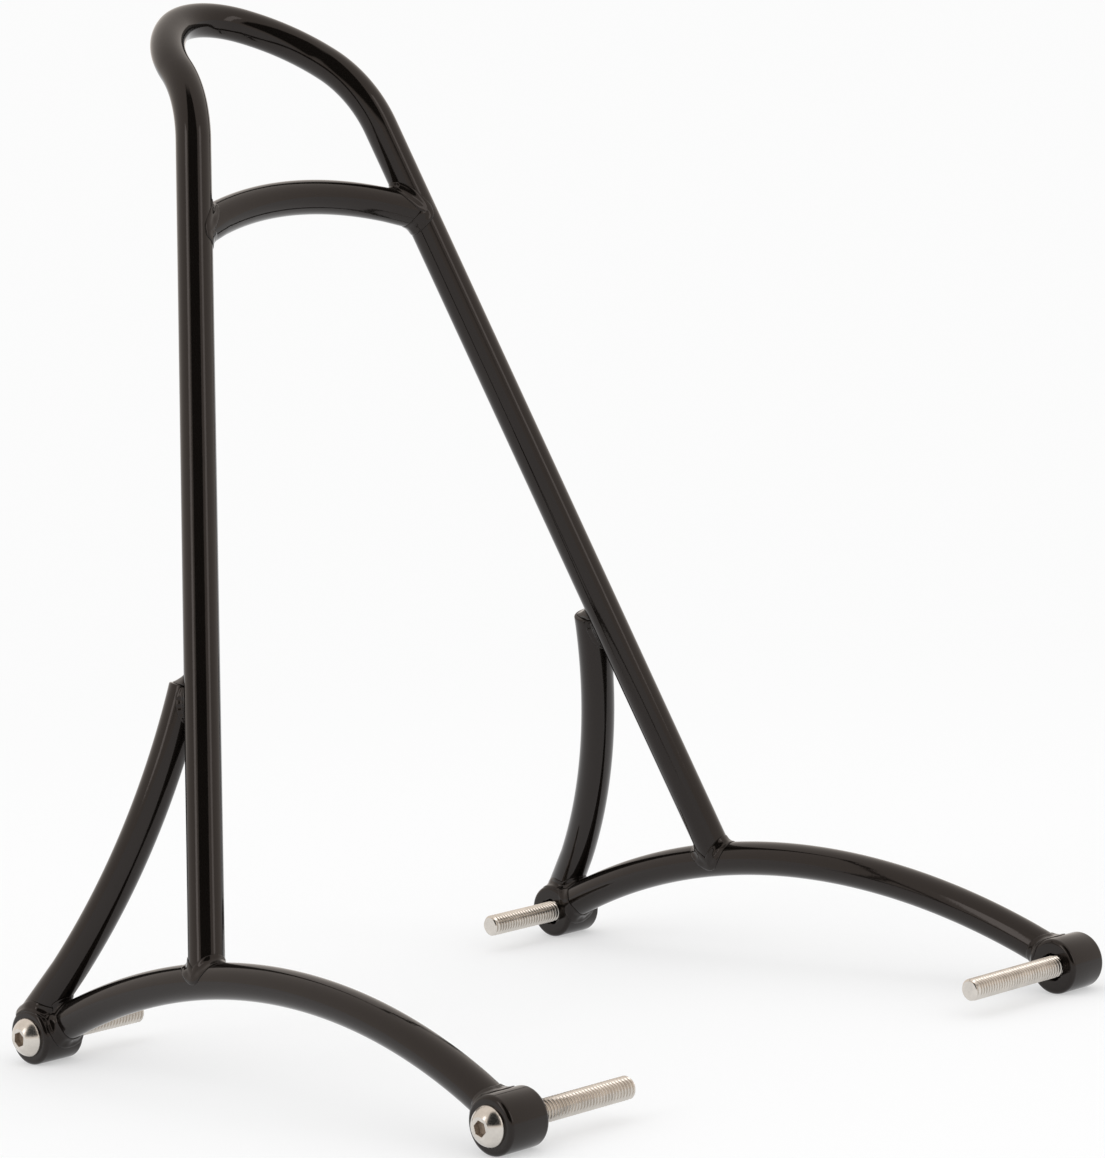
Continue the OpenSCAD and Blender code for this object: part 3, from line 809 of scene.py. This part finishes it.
class Bead:
    """A weld bead in the groove between two skins, along the seam where they meet. With a
    lead it is the fill over a brace's end, and the lead is the way along that end."""
    probe = 0.02 * MM  # the step with which a skin's slope is felt

    def __init__(self, w, off_a, off_b, closed=True, lead=None):
        self.w, self.off_a, self.off_b, self.closed = w, off_a, off_b, closed
        self.lead = lead
        self.legs = (w.cap_reach, w.cap_rise) if lead else (w.reach, w.reach)
        self.crown = w.cap_crown if lead else w.crown

    def slope(self, off, p):
        """The direction straight away from a skin."""
        steps = [axis * self.probe for axis in (X_AXIS, Y_AXIS, Z_AXIS)]
        return Vector([off(p + s) - off(p - s) for s in steps]).normalized()

    def toe(self, off, p):
        """The place of a bead's edge, just under the skin."""
        for _ in range(TOE_ROUNDS):
            p = p - (off(p) + self.w.toe_sink) * self.slope(off, p)
        return p

    def section(self, at, side, out, size, ripple):
        """The bead's section at a place of the seam: a hollow fillet where the groove is deep,
        a low ridge where the two skins run into each other."""
        up_a, up_b = self.slope(self.off_a, at), self.slope(self.off_b, at)
        if self.lead:
            ways = across(self.lead, up_a), across(up_a, up_b)
        else:
            ways = (across(up_b, up_a) + self.w.spread * side,
                    across(up_a, up_b) - self.w.spread * side)
        ends = [self.toe(off, at + way.normalized() * leg * size)
                for off, way, leg in zip((self.off_a, self.off_b), ways, self.legs)]
        points = [at - out * self.w.root_depth]
        count = self.w.section_steps
        for k in range(count + 1):
            u = k / count
            p = ends[0] * (1 - u) ** 2 + at * 2 * u * (1 - u) + ends[1] * u * u
            bulge = math.sin(math.pi * u)
            p += out * (self.crown * size + ripple) * bulge
            if 0 < k < count:
                for _ in range(COVER_ROUNDS):
                    gap = self.w.cover * size * math.sqrt(bulge) + ripple * bulge
                    p += out * max(0, gap - min(self.off_a(p), self.off_b(p)))
            points.append(p)
        return points

    def build(self, bm, seam, outs=None):
        """Joins the sections along a seam by faces. The ways out of the groove may be given."""
        n = len(seam)
        if not outs:
            outs = [(self.slope(self.off_a, at) + self.slope(self.off_b, at)).normalized()
                    for at in seam]
        sections, sides = [], []
        for i, (at, out) in enumerate(zip(seam, outs)):
            back = seam[i - 1] if self.closed or i else at
            ahead = seam[(i + 1) % n] if self.closed or i < n - 1 else at
            sides.append((ahead - back).cross(out).normalized())
        lean = sum(across(self.slope(self.off_b, at), self.slope(self.off_a, at)).dot(side)
                   for at, side in zip(seam, sides))
        for i, (at, out, side) in enumerate(zip(seam, outs, sides)):
            from_end = (min(i, n - 1 - i) + 0.5) / TAPER_STEPS
            size = 1.0 if self.closed else math.sqrt(min(1, from_end))
            ripple = self.w.ripple * size * math.cos(2 * math.pi * i / self.w.ripple_steps)
            points = self.section(at, side if lean > 0 else -side, out, size, ripple)
            sections.append([bm.verts.new(p) for p in points])
        for i in range(n if self.closed else n - 1):
            a, b = sections[i], sections[(i + 1) % n]
            for k in range(len(a)):
                bm.faces.new((a[k - 1], a[k], b[k], b[k - 1]))
        if not self.closed:
            bm.faces.new(sections[0])
            bm.faces.new(sections[-1])


class SISSY_OT_welds(PieceOperator, Operator):
    """Build the weld beads"""
    bl_idname = "sissy.welds"
    bl_label = "Weld beads"

    # How far along a bar its seam is looked for, in bar diameters or boss radii
    foot_far, crossbar_far, brace_far, boss_far = 3, 2.5, 4, 5
    # A brace's top bead: where it starts, as a share of the brace, and how soon it faces aside
    lap_start, lap_turn = 0.985, 1.4

    def leaving(self, skin, off, low, high):
        """The place along a bar where its skin leaves the other one."""
        for _ in range(HALVINGS):
            mid = (low + high) / 2
            low, high = (low, mid) if off(skin(mid)) > 0 else (mid, high)
        return skin((low + high) / 2)

    def seam_of_line(self, at, along, off, far):
        """The seam round a straight bar where its skin leaves another one."""
        p, steps = self.paths, self.welds.seam_steps
        u = across(X_AXIS, along).normalized()
        v = along.cross(u)
        seam = []
        for i in range(steps):
            t = 2 * math.pi * i / steps
            foot = at + p.r * (math.cos(t) * u + math.sin(t) * v)
            seam.append(self.leaving(lambda s: foot + s * along, off, 0, far))
        return seam

    def seam_of_arc(self, arc, low, high, off):
        """The seam round an arched bar where its skin leaves another one."""
        p, steps = self.paths, self.welds.seam_steps
        seam = []
        for i in range(steps):
            t = 2 * math.pi * i / steps

            def skin(turn):
                outward = (arc.point(turn) - arc.centre).normalized()
                return arc.point(turn) + p.r * (math.cos(t) * outward + math.sin(t) * arc.axis)

            seam.append(self.leaving(skin, off, low, high))
        return seam

    def lap(self):
        """The brace's top along the back of the upright: down one side, round and up again."""
        p, arc, steps = self.paths, self.paths.brace, self.welds.seam_steps
        top = arc.turn * self.lap_start

        def contact(turn):
            return self.bars.bar_d - from_line(arc.point(turn), p.foot, p.upright)

        heel = self.leaving(lambda turn: turn, contact, 0.0, top)
        seam, outs = [], []
        for i in range(steps + 1):
            u = 2 * i / steps - 1
            on_brace = arc.point(top + (heel - top) * (1 - u * u))
            on_axis = p.foot + p.upright * (on_brace - p.foot).dot(p.upright)
            half = (on_brace - on_axis).length / 2
            spread = math.sqrt(max(0, p.r * p.r - half * half))
            aside = p.upright.cross(on_brace - on_axis).normalized() * (1 if u > 0 else -1)
            share = min(1, self.lap_turn * spread / p.r)
            seam.append((on_brace + on_axis) / 2 + spread * aside)
            outs.append((share * aside - (1 - share) * p.upright).normalized())
        return seam, outs

    def over_end(self, bm):
        """Fills the corner between the brace's cut end and the back of the upright."""
        p, w, arc = self.paths, self.welds, self.paths.brace
        at, up = arc.point(arc.turn), arc.heading(arc.turn)
        away = across(across(at - p.foot, p.upright), up).normalized()
        side = up.cross(away)
        apart = from_line(at, p.foot, p.upright)
        spread = w.cap_width * math.sqrt(p.r ** 2 - apart * apart / 4)

        def off_end(v):
            return (v - at).dot(up)

        seam = []
        for i in range(w.cap_steps + 1):
            axis = at - away * apart + side * spread * (2 * i / w.cap_steps - 1)
            seam.append(self.leaving(lambda t: axis + away * t, p.off_upright, 0, apart))
        Bead(w, off_end, p.off_upright, closed=False, lead=away).build(bm, seam)

    def build(self):
        p, w, bar_d = self.paths, self.welds, self.bars.bar_d
        coat = gloss_coat(self.finish, welded=True)

        def off_rear(v):
            return p.off_boss(v, p.rear)

        def off_front(v):
            return p.off_boss(v, p.front)

        def off_rear_and_rail(v):
            return min(off_rear(v), p.off_rail(v))

        rail, cross, brace = p.rail, p.crossbar, p.brace
        boss = self.boss_far * p.boss_r / rail.radius
        foot = self.seam_of_line(p.foot, p.upright, p.off_rail, self.foot_far * bar_d)
        cross_end = self.seam_of_arc(cross, 0, self.crossbar_far * bar_d / cross.radius,
                                     p.off_upright)
        rail_front = self.seam_of_arc(rail, rail.turn, rail.turn - boss, off_front)
        rail_rear = self.seam_of_arc(rail, 0, boss, off_rear)
        brace_foot = self.seam_of_arc(brace, 0, self.brace_far * bar_d / brace.radius,
                                      off_rear_and_rail)
        joints = {
            "foot": (p.off_upright, p.off_rail, foot, None),
            "crossbar": (p.off_crossbar, p.off_upright, cross_end, None),
            "rail_front": (p.off_rail, off_front, rail_front, None),
            "rail_rear": (p.off_rail, off_rear, rail_rear, None),
            "brace_foot": (p.off_brace, off_rear_and_rail, brace_foot, None),
            "brace_top": (p.off_brace, p.off_upright, *self.lap()),
        }
        for joint, (off_a, off_b, seam, outs) in joints.items():
            for name, side in SIDES.items():
                node = "%s_%s_weld" % (name, joint)
                bm = bmesh.new()
                Bead(w, off_a, off_b, closed=outs is None).build(bm, seam, outs)
                if outs:
                    self.over_end(bm)
                piece = finish_mesh(bm, node + "_bead", node, coat, sharp=80, side=side)
                soft = piece.modifiers.new("Smooth", "SUBSURF")
                soft.levels = soft.render_levels = w.smoothing


class SISSY_OT_stage(Operator):
    """Set the camera, the floor, the lights and the white surround"""
    bl_idname = "sissy.stage"
    bl_label = "Studio"
    bl_options = {"REGISTER", "UNDO"}

    # The camera's right, up and backward directions
    look = (Vector((0.7008413, -0.7111157, -0.0559992)),
            Vector((0.1191828, 0.0393352, 0.9920928)),
            Vector((-0.7032901, -0.7019738, 0.1123205)))
    # Between these distances the lit floor fades into plain white, from a share at the middle
    floor_size, fade_start, fade_stop, least_fade = 12, 0.25, 1.1, 0.45
    # Each edge of the dark opening, in degrees from where it begins to where it is full
    opening_side, opening_low, opening_high = (40, 34), (4, 12), (84, 70)
    # Each area light's place and power in watts
    lamps = {"side_strip": ((-2.2, 0.4, 1.1), 4), "front_strip": ((0.5, -2.2, 1.2), 3)}
    lamp_aim, lamp_size = Vector((0, 0, 0.15)), (0.5, 1.6)

    def camera(self, scene, s):
        data = bpy.data.cameras.new("camera")
        data.lens, data.sensor_width = s.lens, 36
        data.clip_start, data.clip_end = 0.05, 50
        eye = bpy.data.objects.new("camera", data)
        turn = Matrix(self.look).transposed().to_4x4()
        eye.matrix_world = Matrix.Translation(s.camera_at) @ turn
        scene.collection.objects.link(eye)
        scene.camera = eye

    def floor(self, scene, s):
        bm = bmesh.new()
        bmesh.ops.create_grid(bm, x_segments=1, y_segments=1, size=self.floor_size)
        mesh = bpy.data.meshes.new("floor")
        bm.to_mesh(mesh)
        bm.free()
        floor = bpy.data.objects.new("floor", mesh)
        scene.collection.objects.link(floor)
        material, n = fresh_material("floor_white")
        where = n.add("TexCoord").outputs["Object"]
        away = n.add("VectorMath", {0: where}, operation="LENGTH").outputs["Value"]
        fade = n.add("MapRange", {"Value": away, "From Min": self.fade_start,
                                  "From Max": self.fade_stop, "To Min": self.least_fade},
                     interpolation_type="SMOOTHSTEP").outputs["Result"]
        near = n.add("BsdfDiffuse", {"Color": tone((0.93, 0.93, 0.93))}).outputs["BSDF"]
        far = n.add("Emission", {"Color": tone((s.white,) * 3), "Strength": 1.0}).outputs["Emission"]
        n.end(n.add("MixShader", {0: fade, 1: near, 2: far}).outputs["Shader"])
        mesh.materials.append(material)

    def surround(self, scene, s):
        """White all round for the eye and for reflections, with a dark opening above the camera."""
        world = bpy.data.worlds.new("studio")
        scene.world = world
        world.use_nodes = True
        n = Nodes(world.node_tree)
        where = n.add("TexCoord").outputs["Generated"]
        back = self.look[2]
        turn = math.atan2(back.x, back.y)
        turned = n.add("Mapping", {"Vector": where, "Rotation": (0, 0, turn)},
                       vector_type="POINT").outputs["Vector"]
        parts = n.add("SeparateXYZ", {"Vector": turned})
        side = n.maths("ABSOLUTE", n.maths("ARCTAN2", parts.outputs["X"], parts.outputs["Y"]))
        height = n.maths("ARCSINE", parts.outputs["Z"])

        def step(value, edge):
            start, stop = edge
            return n.add("MapRange", {"Value": value, "From Min": math.radians(start),
                                      "From Max": math.radians(stop)},
                         interpolation_type="SMOOTHSTEP").outputs["Result"]

        inside = n.maths("MULTIPLY", step(side, self.opening_side), step(height, self.opening_low))
        inside = n.maths("MULTIPLY", inside, step(height, self.opening_high))
        path = n.add("LightPath")
        white = n.blend(path.outputs["Is Camera Ray"], tone(s.warmth, s.white),
                        tone((s.white,) * 3))
        seen = n.blend(inside, white, tone((s.dark,) * 3))
        eye = n.maths("ADD", path.outputs["Is Camera Ray"], path.outputs["Is Glossy Ray"])
        eye = n.maths("MINIMUM", n.maths("ADD", eye, path.outputs["Is Transmission Ray"]), 1.0)
        soft = n.add("Background", {"Color": tone((1, 1, 1)), "Strength": s.soft})
        plain = n.add("Background", {"Color": seen, "Strength": 1.0})
        mix = n.add("MixShader", {0: eye, 1: soft.outputs[0], 2: plain.outputs[0]})
        out = n.add("OutputWorld")
        n.tree.links.new(mix.outputs["Shader"], out.inputs["Surface"])

    def light(self, scene, name, at, power):
        data = bpy.data.lights.new(name, "AREA")
        data.shape, data.energy = "RECTANGLE", power
        data.size, data.size_y = self.lamp_size
        lamp = bpy.data.objects.new(name, data)
        lamp.location = at
        lamp.rotation_euler = (self.lamp_aim - Vector(at)).to_track_quat("-Z", "Y").to_euler()
        scene.collection.objects.link(lamp)

    def execute(self, context):
        scene = context.scene
        s = scene.sissy_stage
        scene.view_settings.view_transform = "Standard"
        self.camera(scene, s)
        self.floor(scene, s)
        self.surround(scene, s)
        for name, (at, power) in self.lamps.items():
            self.light(scene, name, at, power)
        return {"FINISHED"}


class SISSY_PT_panel(Panel):
    """The builders' buttons and settings, in the sidebar"""
    bl_idname = "SISSY_PT_panel"
    bl_label = "Sissy bar"
    bl_space_type = "VIEW_3D"
    bl_region_type = "UI"
    bl_category = "Sissy bar"

    def draw(self, context):
        for operator in OPERATORS:
            self.layout.operator(operator.bl_idname)
        for name, group in GROUPS.items():
            box = self.layout.box()
            for key in group.__annotations__:
                box.prop(getattr(context.scene, name), key)


GROUPS = {
    "sissy_bars": SissyBars,
    "sissy_mounts": SissyMounts,
    "sissy_welds": SissyWelds,
    "sissy_finish": SissyFinish,
    "sissy_stage": SissyStage,
}
OPERATORS = (SISSY_OT_stage, SISSY_OT_hoop, SISSY_OT_rails, SISSY_OT_braces, SISSY_OT_bosses,
             SISSY_OT_screws, SISSY_OT_welds)


def register():
    for cls in (*GROUPS.values(), *OPERATORS, SISSY_PT_panel):
        bpy.utils.register_class(cls)
    for name, group in GROUPS.items():
        setattr(bpy.types.Scene, name, PointerProperty(type=group))


def unregister():
    for name in GROUPS:
        delattr(bpy.types.Scene, name)
    for cls in reversed((*GROUPS.values(), *OPERATORS, SISSY_PT_panel)):
        bpy.utils.unregister_class(cls)


def main():
    register()
    bpy.ops.sissy.stage()
    bpy.ops.sissy.hoop()
    bpy.ops.sissy.rails()
    bpy.ops.sissy.braces()
    bpy.ops.sissy.bosses()
    bpy.ops.sissy.screws()
    bpy.ops.sissy.welds()
    bpy.context.view_layer.update()


if __name__ == "__main__":
    main()
